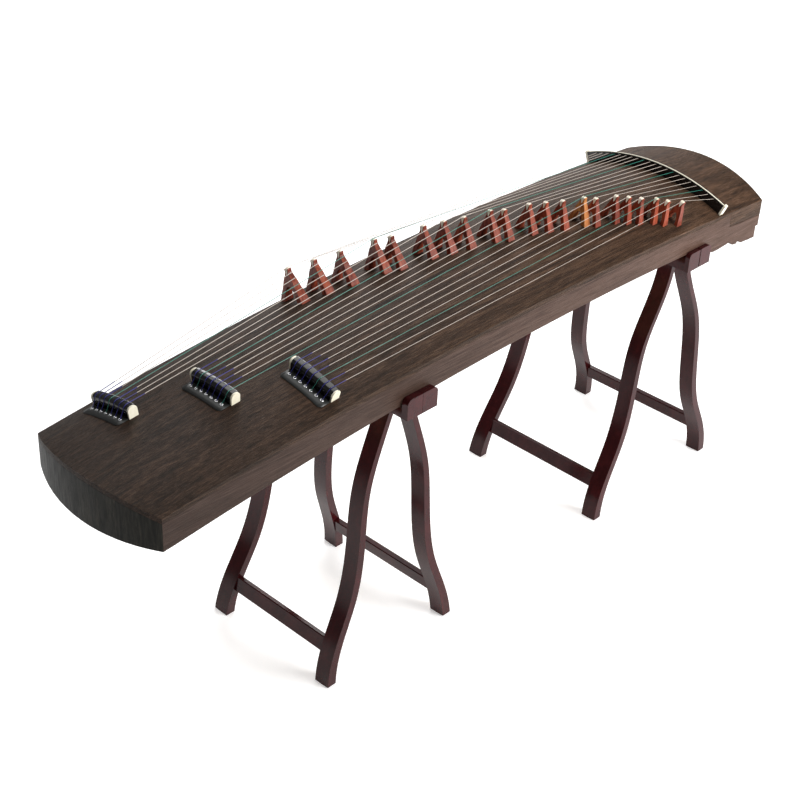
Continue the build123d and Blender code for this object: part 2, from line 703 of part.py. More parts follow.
def make_rail(stand, side):
    """Top rail under the soundbox with an upright stop at each end."""
    sign = -1 if side == 0 else 1
    x0, x1 = sorted((stand["x"] + sign * stand["seam"] / 2, stand["x"] + sign * RAIL_WIDTH))
    rest = min(ridge_z(x, BODY_DEPTH) for x in (x0, x1)) - REST_GAP
    inside = max(half_width(x0), half_width(x1)) + STOP_GAP

    def block(y_low, y_high, height, outer_round):
        middle = Pos((x0 + x1) / 2, (y_low + y_high) / 2, stand["z"] + height / 2)
        solid = middle * Box(x1 - x0, y_high - y_low, height)
        outer = solid.edges().filter_by(Axis.Y).group_by(Axis.Z)[-1].sort_by(Axis.X)
        return fillet(outer[0] if side == 0 else outer[-1], outer_round)

    rail = block(-inside, inside, rest - stand["z"], RAIL_ROUND)
    for stop in (block(-stand["half"], -inside, STOP_HEIGHT, STOP_ROUND),
                 block(inside, stand["half"], STOP_HEIGHT, STOP_ROUND)):
        rail += stop
    return rail


def make_stretcher(stand, side, legs):
    """Lower crossbar between the two legs of a frame."""
    z = stand["stretcher_z"][side]
    low, high = leg_centre(stand, side)[0:2]
    run, rise = high[0] - low[0], high[1] - low[1]
    x = low[0] + run * z / rise
    spread = stand["foot_y"][side] - stand["top_y"][side]
    y = stand["foot_y"][side] - LEG_DEPTH / 2 - spread * z / stand["z"]
    bar = Box(STRETCHER_WIDTH, 2 * y, STRETCHER_HEIGHT)
    bar = chamfer(bar.edges().filter_by(Axis.Y), 1.5)
    bar = Pos(x, 0, z) * Rot(Y=math.degrees(math.atan2(run, rise))) * bar
    pieces = only_solids(bar - legs)
    return max(pieces, key=lambda s: s.volume)


def make_frame(stand, side):
    legs = [make_leg(stand, side, sign) for sign in (-1, 1)]
    legs = [s for leg in legs for s in only_solids(leg)]
    return legs + [make_rail(stand, side).solid(), make_stretcher(stand, side, legs)]


def hinge_leaf(stand, side, y):
    """Half of a butt hinge under the rails; the tail-side half carries the pin."""
    x, z = stand["x"], stand["z"] - HINGE_DROP
    sign = -1 if side == 0 else 1
    length = 3 * KNUCKLE_LENGTH
    plate = Pos(x + sign * (LEAF_WIDTH / 2 + 0.3), y, stand["z"] - LEAF_THICKNESS / 2 - 0.05)
    plate = plate * Box(LEAF_WIDTH, length, LEAF_THICKNESS)

    def knuckle(middle, radius, span):
        return Pos(x, middle, z) * Rot(90, 0, 0) * Cylinder(radius, span)

    outer = [y - KNUCKLE_LENGTH, y + KNUCKLE_LENGTH]
    clear = KNUCKLE_RADIUS + 0.4
    if side == 0:
        leaf = plate - knuckle(y, clear, KNUCKLE_LENGTH + 0.4)
        for middle in outer:
            leaf += knuckle(middle, KNUCKLE_RADIUS, KNUCKLE_LENGTH - 0.2)
        leaf += knuckle(y, HINGE_PIN_RADIUS, length + 2)
    else:
        leaf = plate
        for middle in outer:
            leaf -= knuckle(middle, clear, KNUCKLE_LENGTH + 0.4)
        leaf += knuckle(y, KNUCKLE_RADIUS, KNUCKLE_LENGTH - 0.2)
        leaf -= knuckle(y, HINGE_PIN_RADIUS + PIN_CLEARANCE, length + 4)
    return leaf


def make_hinges(stand, side):
    leaves = [hinge_leaf(stand, side, y) for y in HINGE_YS]
    return [s for leaf in leaves for s in only_solids(leaf)]


# --- Export ---
def save(name, solids):
    if not isinstance(solids, list):
        solids = only_solids(solids)
    shape = solids[0] if len(solids) == 1 else Compound(children=solids)
    export_step(shape, f"parts/{name}.step")


def main():
    os.makedirs("parts", exist_ok=True)
    box = wooden_box()
    save("soundboard", make_soundboard())
    save("side_rails", make_side_rails(box))
    save("end_panels", make_end_panels(box))
    save("bottom_board", make_bottom_board())
    save("inner_frame", make_inner_frame())
    save("lid", make_lid())
    save("nuts", make_nuts())
    save("bone_trim", make_bone_trim())
    save("anchor_plates", make_anchor_plates())
    save("strings", make_strings())
    for i in range(STRING_COUNT):
        save(f"bridge_{i + 1:02d}", make_bridge(i))
        save(f"tuning_pin_{i + 1:02d}", make_tuning_pin(i))
    for stand in (TAIL_STAND, HEAD_STAND):
        for side, word in enumerate(("tailward", "headward")):
            save(f"{stand['name']}_{word}_frame", make_frame(stand, side))
            save(f"{stand['name']}_{word}_hinges", make_hinges(stand, side))


main()
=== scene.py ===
"""A 21-string guzheng on two folding stands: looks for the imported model, in metres, in its frame."""
import math

import bmesh
import bpy
from mathutils import Matrix, Vector


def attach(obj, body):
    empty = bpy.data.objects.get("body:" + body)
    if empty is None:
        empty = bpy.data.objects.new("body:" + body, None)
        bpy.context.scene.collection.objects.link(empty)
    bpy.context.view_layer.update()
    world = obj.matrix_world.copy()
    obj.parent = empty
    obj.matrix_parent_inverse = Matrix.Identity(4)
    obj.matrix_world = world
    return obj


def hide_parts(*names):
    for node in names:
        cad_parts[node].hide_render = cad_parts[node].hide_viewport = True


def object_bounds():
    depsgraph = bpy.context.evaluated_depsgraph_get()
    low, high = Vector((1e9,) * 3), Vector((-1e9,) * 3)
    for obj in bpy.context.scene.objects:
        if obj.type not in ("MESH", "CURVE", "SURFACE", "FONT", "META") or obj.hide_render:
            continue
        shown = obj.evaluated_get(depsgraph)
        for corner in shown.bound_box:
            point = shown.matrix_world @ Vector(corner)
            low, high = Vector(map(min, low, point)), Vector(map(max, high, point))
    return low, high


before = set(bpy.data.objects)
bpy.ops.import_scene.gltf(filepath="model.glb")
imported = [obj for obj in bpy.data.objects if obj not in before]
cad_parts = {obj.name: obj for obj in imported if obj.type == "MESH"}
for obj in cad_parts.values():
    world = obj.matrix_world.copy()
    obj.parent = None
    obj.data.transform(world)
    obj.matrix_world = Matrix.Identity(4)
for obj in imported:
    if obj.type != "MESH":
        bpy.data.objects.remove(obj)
CAD_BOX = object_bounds()

# --- The soundbox's arched, cambered surface ---
ARCH_RADIUS = 0.430
CAMBER_RADIUS = 8.700
CREST_X = 0.200
CREST_Z = 0.6446
HALF_LENGTH = 0.82

# --- Strings and what carries them ---
STRING_COUNT = 21
STRINGS_PER_NUT = 7
GREEN_STRINGS = (3, 8, 13, 18)
TAIL_PITCH = 0.0123
HEAD_PITCH = 0.0141
LOW_RADIUS = 0.00060
HIGH_RADIUS = 0.00034
STRING_GAP = 0.00015
TAIL_NUT_XS = (-0.672, -0.541, -0.410)
TAIL_NUT_YS = (0.090, 0.0, -0.090)
TAIL_NUT_WIDTH = 0.018
TAIL_NUT_HEIGHT = 0.020
TAIL_NUT_LENGTH = 0.092
TAIL_NUT_ROUND = 0.009
TAIL_NUT_SHOULDER = 0.0035
NUT_STATIONS = 150
GROOVE_DEPTH = 0.0004
GROOVE_WIDTH = 0.0010
EYELET_OFFSET = -0.019
EYELET_RADIUS = 0.0032
EYELET_ROLL = 0.0009
EYELET_SIDES = 28
PLATE_LENGTH = 0.024
PLATE_THICKNESS = 0.0012
PLATE_MARGIN = 0.001
PLATE_GAP = 0.0006
PLATE_CORNER = 0.005
PLATE_STATIONS = 24
HEAD_NUT_X = 0.643
HEAD_NUT_WIDTH = 0.009
HOLE_HEIGHT = 0.0192
HOLE_LENGTH = 0.006
LID_FRONT_X = 0.676
PIN_ROWS = (0.702, 0.727, 0.752)
PIN_RADIUS = 0.0032
STRING_PIN_DEPTH = 0.026
COIL_TURNS = 3
COIL_STEPS = 14
WINDING_LENGTH = 0.064
WINDING_SPREAD = 0.006
WINDING_PITCH = 0.00055
WINDING_CREST = 0.00024
WINDING_VALLEY = 0.00008

# --- Bridges ---
FIRST_BRIDGE_X = -0.250
OCTAVE_STEPS = (0.048, 0.049, 0.070, 0.028, 0.068)
OCTAVE_SHRINK = (1.0, 0.79, 0.66, 0.44)
SMALLEST_STEP = 0.018
FIRST_BRIDGE_Y = 0.125
BRIDGE_PITCH = 0.0131
TALLEST_BRIDGE = 0.062
BRIDGE_DROP = 0.00062
WIDEST_FOOT = 0.030
FOOT_SHRINK = 0.00062
ARCH_SHARE = 0.52
THICKEST_FOOT = 0.0195
THICKNESS_SHRINK = 0.00022
TOP_THICKNESS = 0.0076
CROWN_HALF = 0.0050
SHOULDER_DROP = 0.0026
BONE_WIDTH = 0.0076
BONE_DEPTH = 0.012
BONE_PROUD = 0.00025
CROWN_DROP = 0.0010
FOOT_GAP = 0.0003
YELLOW_BRIDGE = 13


def camber_angle(x):
    return math.asin((CREST_X - x) / CAMBER_RADIUS)


def ridge_z(x):
    return CREST_Z - CAMBER_RADIUS + math.sqrt(CAMBER_RADIUS**2 - (x - CREST_X) ** 2)


def on_board(x, y, height=0.0):
    """Matrix of a frame on the arched surface: X runs along the camber, Z leaves the wood."""
    ridge = Matrix.Translation((x, 0, ridge_z(x))) @ Matrix.Rotation(-camber_angle(x), 4, "Y")
    tilt = Matrix.Rotation(-math.asin(y / ARCH_RADIUS), 4, "X")
    swing = Matrix.Translation((0, 0, -ARCH_RADIUS)) @ tilt
    return ridge @ swing @ Matrix.Translation((0, 0, ARCH_RADIUS + height))


def board_point(x, y, height=0.0):
    return on_board(x, y, height).translation


def bridge_stations():
    xs = [FIRST_BRIDGE_X]
    for shrink in OCTAVE_SHRINK:
        for step in OCTAVE_STEPS:
            xs.append(xs[-1] + max(SMALLEST_STEP, step * shrink))
    return xs[:STRING_COUNT]


BRIDGE_XS = bridge_stations()


def bridge_y(i):
    return FIRST_BRIDGE_Y - BRIDGE_PITCH * i


def bridge_height(i):
    return TALLEST_BRIDGE - BRIDGE_DROP * i


def string_radius(i):
    return LOW_RADIUS + (HIGH_RADIUS - LOW_RADIUS) * i / (STRING_COUNT - 1)


def tail_station(i):
    nut = i // STRINGS_PER_NUT
    place = i % STRINGS_PER_NUT - (STRINGS_PER_NUT - 1) / 2
    return TAIL_NUT_XS[nut], TAIL_NUT_YS[nut] - TAIL_PITCH * place


def head_y(i):
    return HEAD_PITCH * ((STRING_COUNT - 1) / 2 - i)


# --- Meshes ---
def new_object(name, bm, material, body):
    mesh = bpy.data.meshes.new(name)
    bmesh.ops.recalc_face_normals(bm, faces=bm.faces)
    bm.to_mesh(mesh)
    bm.free()
    obj = bpy.data.objects.new(name, mesh)
    bpy.context.scene.collection.objects.link(obj)
    mesh.materials.append(material)
    for polygon in mesh.polygons:
        polygon.use_smooth = True
    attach(obj, body)
    return obj


def soften(obj, width, segments=2, angle=38.0, rim_paint=None):
    """Ease the sharp edges of a piece, and paint the eased strips with a pale rim material if one is given:
    part rubbed wood, part painted highlight.
    """
    weld = obj.modifiers.new("weld", "WELD")
    weld.merge_threshold = 0.00001
    bevel = obj.modifiers.new("bevel", "BEVEL")
    bevel.width = width
    bevel.segments = segments
    bevel.limit_method = "ANGLE"
    bevel.angle_limit = math.radians(angle)
    bevel.use_clamp_overlap = True
    if rim_paint:
        obj.data.materials.append(rim_paint)
        bevel.material = len(obj.data.materials) - 1
    normals = obj.modifiers.new("normals", "WEIGHTED_NORMAL")
    normals.keep_sharp = True
    for polygon in obj.data.polygons:
        polygon.use_smooth = True
    return obj


def add_tube(bm, points, radii, sides=12):
    """Closed tube through points; radii holds one radius for each point."""
    rings = []
    side = None
    for k, point in enumerate(points):
        before = points[max(k - 1, 0)]
        after = points[min(k + 1, len(points) - 1)]
        along = (after - before).normalized()
        if side is None:
            side = along.orthogonal().normalized()
        side = (side - along * side.dot(along)).normalized()
        up = along.cross(side)
        turns = [2 * math.pi * n / sides for n in range(sides)]
        ring = [point + radii[k] * (side * math.cos(t) + up * math.sin(t)) for t in turns]
        rings.append([bm.verts.new(p) for p in ring])
    for a, b in zip(rings[:-1], rings[1:]):
        for n in range(sides):
            bm.faces.new((a[n], a[(n + 1) % sides], b[(n + 1) % sides], b[n]))
    bm.faces.new(rings[0])
    bm.faces.new(rings[-1])


def add_loft(bm, loops):
    """Closed solid through loops of equally many points, capped at both ends."""
    rows = [[bm.verts.new(p) for p in loop] for loop in loops]
    count = len(rows[0])
    for a, b in zip(rows[:-1], rows[1:]):
        for n in range(count):
            bm.faces.new((a[n], a[(n + 1) % count], b[(n + 1) % count], b[n]))
    bm.faces.new(rows[0])
    bm.faces.new(rows[-1])


def arc_points(cx, cy, radius, start, end, steps):
    """Points on an arc in a plane, from start to end in degrees."""
    turns = [math.radians(start + (end - start) * n / steps) for n in range(steps + 1)]
    return [(cx + radius * math.cos(t), cy + radius * math.sin(t)) for t in turns]


def smooth_line(points, steps):
    """Catmull-Rom curve through a few 2-D points."""
    ends = [points[0]] + list(points) + [points[-1]]
    line = []
    for p0, p1, p2, p3 in zip(ends, ends[1:], ends[2:], ends[3:]):
        for n in range(steps):
            t = n / steps
            spot = []
            for a, b, c, d in zip(p0, p1, p2, p3):
                bend = 2 * a - 5 * b + 4 * c - d
                rise = 3 * b - a - 3 * c + d
                spot.append(0.5 * (2 * b + (c - a) * t + bend * t**2 + rise * t**3))
            line.append(tuple(spot))
    return line + [tuple(points[-1])]


# --- Materials ---
def shader(name):
    material = bpy.data.materials.new(name)
    material.use_nodes = True
    tree = material.node_tree
    return material, tree, tree.nodes["Principled BSDF"]


def node(tree, kind, **values):
    made = tree.nodes.new(kind)
    for key, value in values.items():
        setattr(made, key, value)
    return made


def noise(tree, vector, scale, detail=4.0, rough=0.55, distortion=0.0):
    made = node(tree, "ShaderNodeTexNoise")
    made.inputs["Scale"].default_value = scale
    made.inputs["Detail"].default_value = detail
    made.inputs["Roughness"].default_value = rough
    made.inputs["Distortion"].default_value = distortion
    tree.links.new(vector, made.inputs["Vector"])
    return made.outputs["Fac"]


def stretched(tree, scale):
    """The row frame's coordinates, stretched, so that a pattern runs along the wood."""
    place = node(tree, "ShaderNodeTexCoord")
    mapping = node(tree, "ShaderNodeMapping")
    mapping.inputs["Scale"].default_value = scale
    tree.links.new(place.outputs["Object"], mapping.inputs["Vector"])
    return mapping.outputs["Vector"]


def ramp(tree, factor, stops):
    made = node(tree, "ShaderNodeValToRGB")
    elements = made.color_ramp.elements
    while len(elements) < len(stops):
        elements.new(0.5)
    for element, (place, colour) in zip(elements, stops):
        element.position = place
        element.color = (*colour, 1.0)
    tree.links.new(factor, made.inputs["Fac"])
    return made.outputs["Color"]


def grey(value):
    return (value, value, value)


def mix(tree, factor, a, b, blend="MIX"):
    made = node(tree, "ShaderNodeMix", data_type="RGBA", blend_type=blend)
    if isinstance(factor, float):
        made.inputs[0].default_value = factor
    else:
        tree.links.new(factor, made.inputs[0])
    for socket, value in ((made.inputs[6], a), (made.inputs[7], b)):
        if isinstance(value, tuple):
            socket.default_value = (*value, 1.0)
        else:
            tree.links.new(value, socket)
    return made.outputs[2]


def set_bump(tree, principled, height, strength, distance):
    bump = node(tree, "ShaderNodeBump")
    bump.inputs["Strength"].default_value = strength
    bump.inputs["Distance"].default_value = distance
    tree.links.new(height, bump.inputs["Height"])
    tree.links.new(bump.outputs["Normal"], principled.inputs["Normal"])


def painted_sheen_ramp(tree, tail, head):
    """Grey factor that runs evenly from tail to head over the instrument's length: a painted sheen, which
    darkens the colour at the tail and lightens it towards the head.
    """
    place = node(tree, "ShaderNodeTexCoord")
    split = node(tree, "ShaderNodeSeparateXYZ")
    tree.links.new(place.outputs["Object"], split.inputs["Vector"])
    span = node(tree, "ShaderNodeMapRange")
    span.inputs["From Min"].default_value = -HALF_LENGTH
    span.inputs["From Max"].default_value = HALF_LENGTH
    span.inputs["To Min"].default_value = tail
    span.inputs["To Max"].default_value = head
    tree.links.new(split.outputs["X"], span.inputs["Value"])
    return span.outputs["Result"]


def wood(name, colours, grain=(2.0, 70.0, 70.0), rough=(0.38, 0.6), bump=0.5, coat=0.0, pores=0.6,
         shine=0.3, sheen_ends=None):
    """Wood with long streaks, broad bands, fine dark pores and a relief that follows the grain.

    The last argument holds the painted sheen's factor at the tail and at the head, for wood painted lighter
    along X.
    """
    material, tree, principled = shader(name)
    fine = noise(tree, stretched(tree, grain), 3.2, 7.0, 0.62, 0.4)
    broad = noise(tree, stretched(tree, tuple(g / 7 for g in grain)), 3.0, 3.0, 0.5, 1.2)
    pore_scale = tuple(g * 3.6 for g in grain)
    pore = noise(tree, stretched(tree, pore_scale), 3.0, 3.0, 0.7)
    tone = mix(tree, 0.42, fine, broad)
    dark, middle, light = colours
    colour = ramp(tree, tone, [(0.34, dark), (0.50, middle), (0.66, light)])
    dashes = ramp(tree, pore, [(0.34, grey(1.0 - pores)), (0.46, grey(1.0))])
    colour = mix(tree, 1.0, colour, dashes, "MULTIPLY")
    # Painted sheen: the colour is multiplied darker at the tail and lighter towards the head.
    if sheen_ends:
        colour = mix(tree, 1.0, colour, painted_sheen_ramp(tree, *sheen_ends), "MULTIPLY")
    tree.links.new(colour, principled.inputs["Base Color"])
    roughness = ramp(tree, fine, [(0.3, grey(rough[1])), (0.7, grey(rough[0]))])
    tree.links.new(roughness, principled.inputs["Roughness"])
    relief = mix(tree, 0.5, fine, pore)
    set_bump(tree, principled, relief, bump, 0.0012)
    principled.inputs["Specular IOR Level"].default_value = shine
    principled.inputs["Coat Weight"].default_value = coat
    principled.inputs["Coat Roughness"].default_value = 0.12
    return material


def plain(name, colour, other, rough, metal=0.0, scale=120.0, bump=0.1, coat=0.0):
    """A nearly even material with faint mottling, uneven gloss and a fine relief."""
    material, tree, principled = shader(name)
    place = stretched(tree, (1, 1, 1))
    spots = noise(tree, place, scale, 5.0, 0.6)
    clouds = noise(tree, place, scale / 9, 3.0, 0.5)
    tone = mix(tree, 0.5, spots, clouds)
    tree.links.new(ramp(tree, tone, [(0.35, colour), (0.65, other)]), principled.inputs["Base Color"])
    gloss = ramp(tree, tone, [(0.3, grey(rough[0])), (0.7, grey(rough[1]))])
    tree.links.new(gloss, principled.inputs["Roughness"])
    set_bump(tree, principled, spots, bump, 0.0004)
    principled.inputs["Metallic"].default_value = metal
    principled.inputs["Coat Weight"].default_value = coat
    principled.inputs["Coat Roughness"].default_value = 0.08
    return material


# The board and lid carry a painted sheen: darker at the tail, lighter towards the head.
CHARRED = wood("charred_paulownia", ((0.007, 0.0036, 0.002), (0.042, 0.022, 0.012), (0.112, 0.061, 0.036)),
               grain=(9.0, 260.0, 260.0), rough=(0.42, 0.62), bump=0.9, pores=0.8, shine=0.12,
               sheen_ends=(0.56, 1.32))
# The side rails carry the same painted sheen: darker at the tail, lighter towards the head.
SIDE = wood("stained_side", ((0.027, 0.013, 0.008), (0.054, 0.029, 0.020), (0.082, 0.048, 0.036)),
            grain=(6.0, 200.0, 200.0), rough=(0.40, 0.58), bump=0.4, pores=0.5, shine=0.14,
            sheen_ends=(0.52, 1.45))
# Near-black end face: the end wood's own dark tone, darkened further by painted shade on the end that faces
# away from the light.
END_WOOD_AND_SHADE = wood("tail_end_wood_and_shade", ((0.004, 0.004, 0.003), (0.012, 0.011, 0.008), (0.030, 0.026, 0.019)),
           grain=(90.0, 70.0, 8.0), rough=(0.40, 0.55), bump=0.4, pores=0.4, shine=0.1)
# Pale colour for eased rims: part rubbed wood, part painted highlight along the edge.
RIM_RUB_AND_HIGHLIGHT = wood("rim_rub_and_highlight", ((0.03, 0.018, 0.012), (0.09, 0.058, 0.040), (0.42, 0.32, 0.24)),
            grain=(14.0, 90.0, 90.0), rough=(0.5, 0.75), bump=0.3, pores=0.3, shine=0.2)
BARE = wood("bare_wood", ((0.28, 0.17, 0.09), (0.42, 0.28, 0.16), (0.55, 0.40, 0.25)),
            grain=(2.0, 60.0, 60.0), rough=(0.55, 0.75), bump=0.4, pores=0.3)
ROSEWOOD = wood("rosewood", ((0.075, 0.010, 0.005), (0.20, 0.034, 0.015), (0.36, 0.075, 0.032)),
                grain=(60.0, 60.0, 12.0), rough=(0.34, 0.50), bump=0.35, coat=0.05, pores=0.4)
YELLOW_ROSEWOOD = wood("yellow_rosewood", ((0.22, 0.055, 0.015), (0.42, 0.15, 0.04), (0.62, 0.30, 0.10)),
                       grain=(60.0, 60.0, 12.0), rough=(0.30, 0.46), bump=0.35, coat=0.15, pores=0.3)
LACQUER = wood("lacquer", ((0.022, 0.003, 0.0035), (0.032, 0.0042, 0.005), (0.050, 0.007, 0.008)),
               grain=(16.0, 16.0, 9.0), rough=(0.14, 0.22), bump=0.05, coat=0.10, pores=0.1, shine=0.14)
EBONY = plain("ebony", (0.004, 0.004, 0.004), (0.010, 0.009, 0.009), (0.14, 0.22), bump=0.06, coat=0.15)
BONE = plain("bone", (0.74, 0.68, 0.52), (0.84, 0.80, 0.67), (0.25, 0.38), bump=0.1)
PLATE = plain("dark_plate", (0.016, 0.017, 0.016), (0.030, 0.031, 0.030), (0.38, 0.52), metal=0.2, bump=0.15)
STEEL = plain("nickel", (0.62, 0.62, 0.63), (0.80, 0.80, 0.80), (0.14, 0.26), metal=1.0, bump=0.05)
BRASS = plain("brass", (0.50, 0.34, 0.12), (0.66, 0.48, 0.20), (0.25, 0.42), metal=1.0, bump=0.1)
CREAM = plain("cream_string", (0.40, 0.34, 0.29), (0.54, 0.47, 0.41), (0.28, 0.40), scale=400, bump=0.1)
GREEN = plain("green_string", (0.02, 0.16, 0.12), (0.04, 0.24, 0.18), (0.26, 0.36), scale=400, bump=0.1)
BLUE = plain("blue_thread", (0.008, 0.008, 0.11), (0.022, 0.020, 0.22), (0.45, 0.65), scale=600, bump=0.3)


def paint(name, material):
    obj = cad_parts[name]
    obj.data.materials.clear()
    obj.data.materials.append(material)
    return obj


# --- Soundbox ---
# The soundboard's eased rims take the pale rim colour: part rubbed wood, part painted highlight.
soften(paint("soundboard", CHARRED), 0.0012, 2, rim_paint=RIM_RUB_AND_HIGHLIGHT)
soften(paint("side_rails", SIDE), 0.0006, 2)
soften(paint("lid", CHARRED), 0.0010, 2)
soften(paint("bottom_board", BARE), 0.0006, 1)
soften(paint("inner_frame", BARE), 0.0005, 1)
soften(paint("bone_trim", BONE), 0.0005, 2)
for n in range(STRING_COUNT):
    soften(paint(f"tuning_pin_{n + 1:02d}", STEEL), 0.0003, 1)


# --- Nuts ---
def tail_nut_profile(y, string_ys):
    """Outline of a tail nut across X, worn into a groove under each string."""
    groove = sum(GROOVE_DEPTH * math.exp(-(((y - s) / GROOVE_WIDTH) ** 2)) for s in string_ys)
    half = TAIL_NUT_WIDTH / 2
    top = TAIL_NUT_HEIGHT - groove
    round_radius = TAIL_NUT_ROUND - groove
    shoulder = TAIL_NUT_SHOULDER
    curve = arc_points(-half + TAIL_NUT_ROUND, top - round_radius, round_radius, 180, 90, 12)
    front = arc_points(half - shoulder, top - shoulder, shoulder, 90, 0, 5)
    foot = [(half, 0.0), (-half, 0.0)]
    return curve + front + foot


def make_tail_nut(k):
    x, centre = TAIL_NUT_XS[k], TAIL_NUT_YS[k]
    string_ys = [tail_station(i)[1] for i in range(k * STRINGS_PER_NUT, (k + 1) * STRINGS_PER_NUT)]
    half = TAIL_NUT_LENGTH / 2
    bm = bmesh.new()
    loops = []
    for n in range(NUT_STATIONS + 1):
        y = centre - half + 2 * half * n / NUT_STATIONS
        profile = tail_nut_profile(y, string_ys)
        loops.append([on_board(x, y, h) @ Vector((u, 0, 0)) for u, h in profile])
    add_loft(bm, loops)
    return new_object(f"tail_nut_{k + 1}", bm, EBONY, "soundbox")


for k in range(len(TAIL_NUT_XS)):
    make_tail_nut(k)


def cad_island(name, node_name, keep, material, body):
    """A new piece from those solids of a CAD node whose middle passes the keep test."""
    bm = bmesh.new()
    bm.from_mesh(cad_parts[node_name].data)
    bmesh.ops.remove_doubles(bm, verts=bm.verts, dist=0.00001)
    bm.verts.ensure_lookup_table()
    seen = set()
    drop = []
    for start in bm.verts:
        if start.index in seen:
            continue
        group, todo = [], [start]
        seen.add(start.index)
        while todo:
            vert = todo.pop()
            group.append(vert)
            for edge in vert.link_edges:
                other = edge.other_vert(vert)
                if other.index not in seen:
                    seen.add(other.index)
                    todo.append(other)
        middle = sum((v.co for v in group), Vector()) / len(group)
        if not keep(middle):
            drop.extend(group)
    bmesh.ops.delete(bm, geom=drop, context="VERTS")
    return new_object(name, bm, material, body)


def at_tail(point):
    return point.x < 0


def at_head(point):
    return point.x > 0


tail_end = cad_island("tail_end", "end_panels", at_tail, END_WOOD_AND_SHADE, "soundbox")
# Faces that point along X keep the near-black colour, partly painted shade; the panel's other faces take the
# side rails' wood.
tail_end.data.materials.append(SIDE)
for polygon in tail_end.data.polygons:
    if abs(polygon.normal.x) < 0.5:
        polygon.material_index = 1
soften(tail_end, 0.0010)
soften(cad_island("head_end", "end_panels", at_head, SIDE, "soundbox"), 0.0010)
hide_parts("end_panels")

head_nut = cad_island("head_nut", "nuts", at_head, EBONY, "soundbox")
soften(head_nut, 0.0003, 1)
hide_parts("nuts")


# --- Anchor plates and eyelets ---
def make_plate(k):
    """Thin arched plate with rounded tail-side corners."""
    x1 = TAIL_NUT_XS[k] - TAIL_NUT_WIDTH / 2 - PLATE_GAP
    x0 = x1 - PLATE_LENGTH
    half = TAIL_NUT_LENGTH / 2 + PLATE_MARGIN
    centre = TAIL_NUT_YS[k]
    low, high = 0.00005, PLATE_THICKNESS
    bevel = 0.0003
    bm = bmesh.new()
    loops = []
    for n in range(PLATE_STATIONS + 1):
        y = -half + 2 * half * n / PLATE_STATIONS
        over = max(abs(y) - (half - PLATE_CORNER), 0.0)
        left = x0 + PLATE_CORNER - math.sqrt(max(PLATE_CORNER**2 - over**2, 0.0))
        section = [(left, low), (left + bevel, high), (x1 - bevel, high), (x1, low)]
        loops.append([on_board(x1, centre + y, h) @ Vector((u - x1, 0, 0)) for u, h in section])
    add_loft(bm, loops)
    return new_object(f"anchor_plate_{k + 1}", bm, PLATE, "soundbox")


def make_eyelets():
    """Rolled metal eyelets, one for each string."""
    bm = bmesh.new()
    for i in range(STRING_COUNT):
        nut_x, y = tail_station(i)
        place = on_board(nut_x + EYELET_OFFSET, y, PLATE_THICKNESS)
        profile = arc_points(EYELET_RADIUS - EYELET_ROLL, 0.0002, EYELET_ROLL, 0, 180, 8)
        profile += [(EYELET_RADIUS - 2 * EYELET_ROLL, -0.0004), (EYELET_RADIUS, -0.0004)]
        rings = []
        for n in range(EYELET_SIDES):
            turn = 2 * math.pi * n / EYELET_SIDES
            rings.append([bm.verts.new(place @ Vector((r * math.cos(turn), r * math.sin(turn), h)))
                          for r, h in profile])
        for n in range(EYELET_SIDES):
            a, b = rings[n], rings[(n + 1) % EYELET_SIDES]
            for m in range(len(profile)):
                q = (m + 1) % len(profile)
                bm.faces.new((a[m], a[q], b[q], b[m]))
    return new_object("eyelets", bm, STEEL, "soundbox")


plates = [make_plate(k) for k in range(len(TAIL_NUT_XS))]
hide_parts("anchor_plates")
make_eyelets()


# --- Strings ---
def string_run(i):
    """Points of string i: eyelet, round the tail nut, over the bridge, into the head nut."""
    r = string_radius(i)
    nut_x, y = tail_station(i)
    points = [board_point(nut_x + EYELET_OFFSET, y, 0.00015), board_point(nut_x + EYELET_OFFSET, y, 0.0012)]
    centre_x = nut_x - TAIL_NUT_WIDTH / 2 + TAIL_NUT_ROUND
    centre_h = TAIL_NUT_HEIGHT - TAIL_NUT_ROUND
    reach = TAIL_NUT_ROUND + r + STRING_GAP
    for u, h in arc_points(centre_x, centre_h, reach, 172, 88, 12):
        points.append(board_point(u, y, h))
    points.append(board_point(BRIDGE_XS[i], bridge_y(i), bridge_height(i) + r + STRING_GAP))
    front = HEAD_NUT_X - HEAD_NUT_WIDTH / 2
    points.append(board_point(front - 0.0006, head_y(i), HOLE_HEIGHT))
    points.append(board_point(front + HOLE_LENGTH, head_y(i), HOLE_HEIGHT - HOLE_LENGTH))
    return points


def toward(here, other, reach=0.0012):
    """The point a short way from here toward other, or none where the two are close."""
    away = other - here
    if away.length <= 3 * reach:
        return []
    return [here + away.normalized() * reach]


def doubled(points):
    """Extra points just before and after each inner point, which keep bends short and tight."""
    made = [points[0]]
    for before, here, after in zip(points, points[1:], points[2:]):
        made += toward(here, before) + [here] + toward(here, after)
    return made + [points[-1]]


def pin_coil(i):
    """Short run out of the pin bay's wall and three turns round the tuning pin."""
    r = string_radius(i)
    pin_x, y = PIN_ROWS[i % len(PIN_ROWS)], head_y(i)
    reach = PIN_RADIUS + r + 0.0001
    place = on_board(pin_x, y, -STRING_PIN_DEPTH)
    start = board_point(LID_FRONT_X + 0.0001, y, -STRING_PIN_DEPTH)
    points = [start, place @ Vector((0, reach, 0))]
    for n in range(1, COIL_TURNS * COIL_STEPS + 1):
        turn = math.radians(90) - 2 * math.pi * n / COIL_STEPS
        drop = -2.2 * r * n / COIL_STEPS
        points.append(place @ Vector((reach * math.cos(turn), reach * math.sin(turn), drop)))
    return points


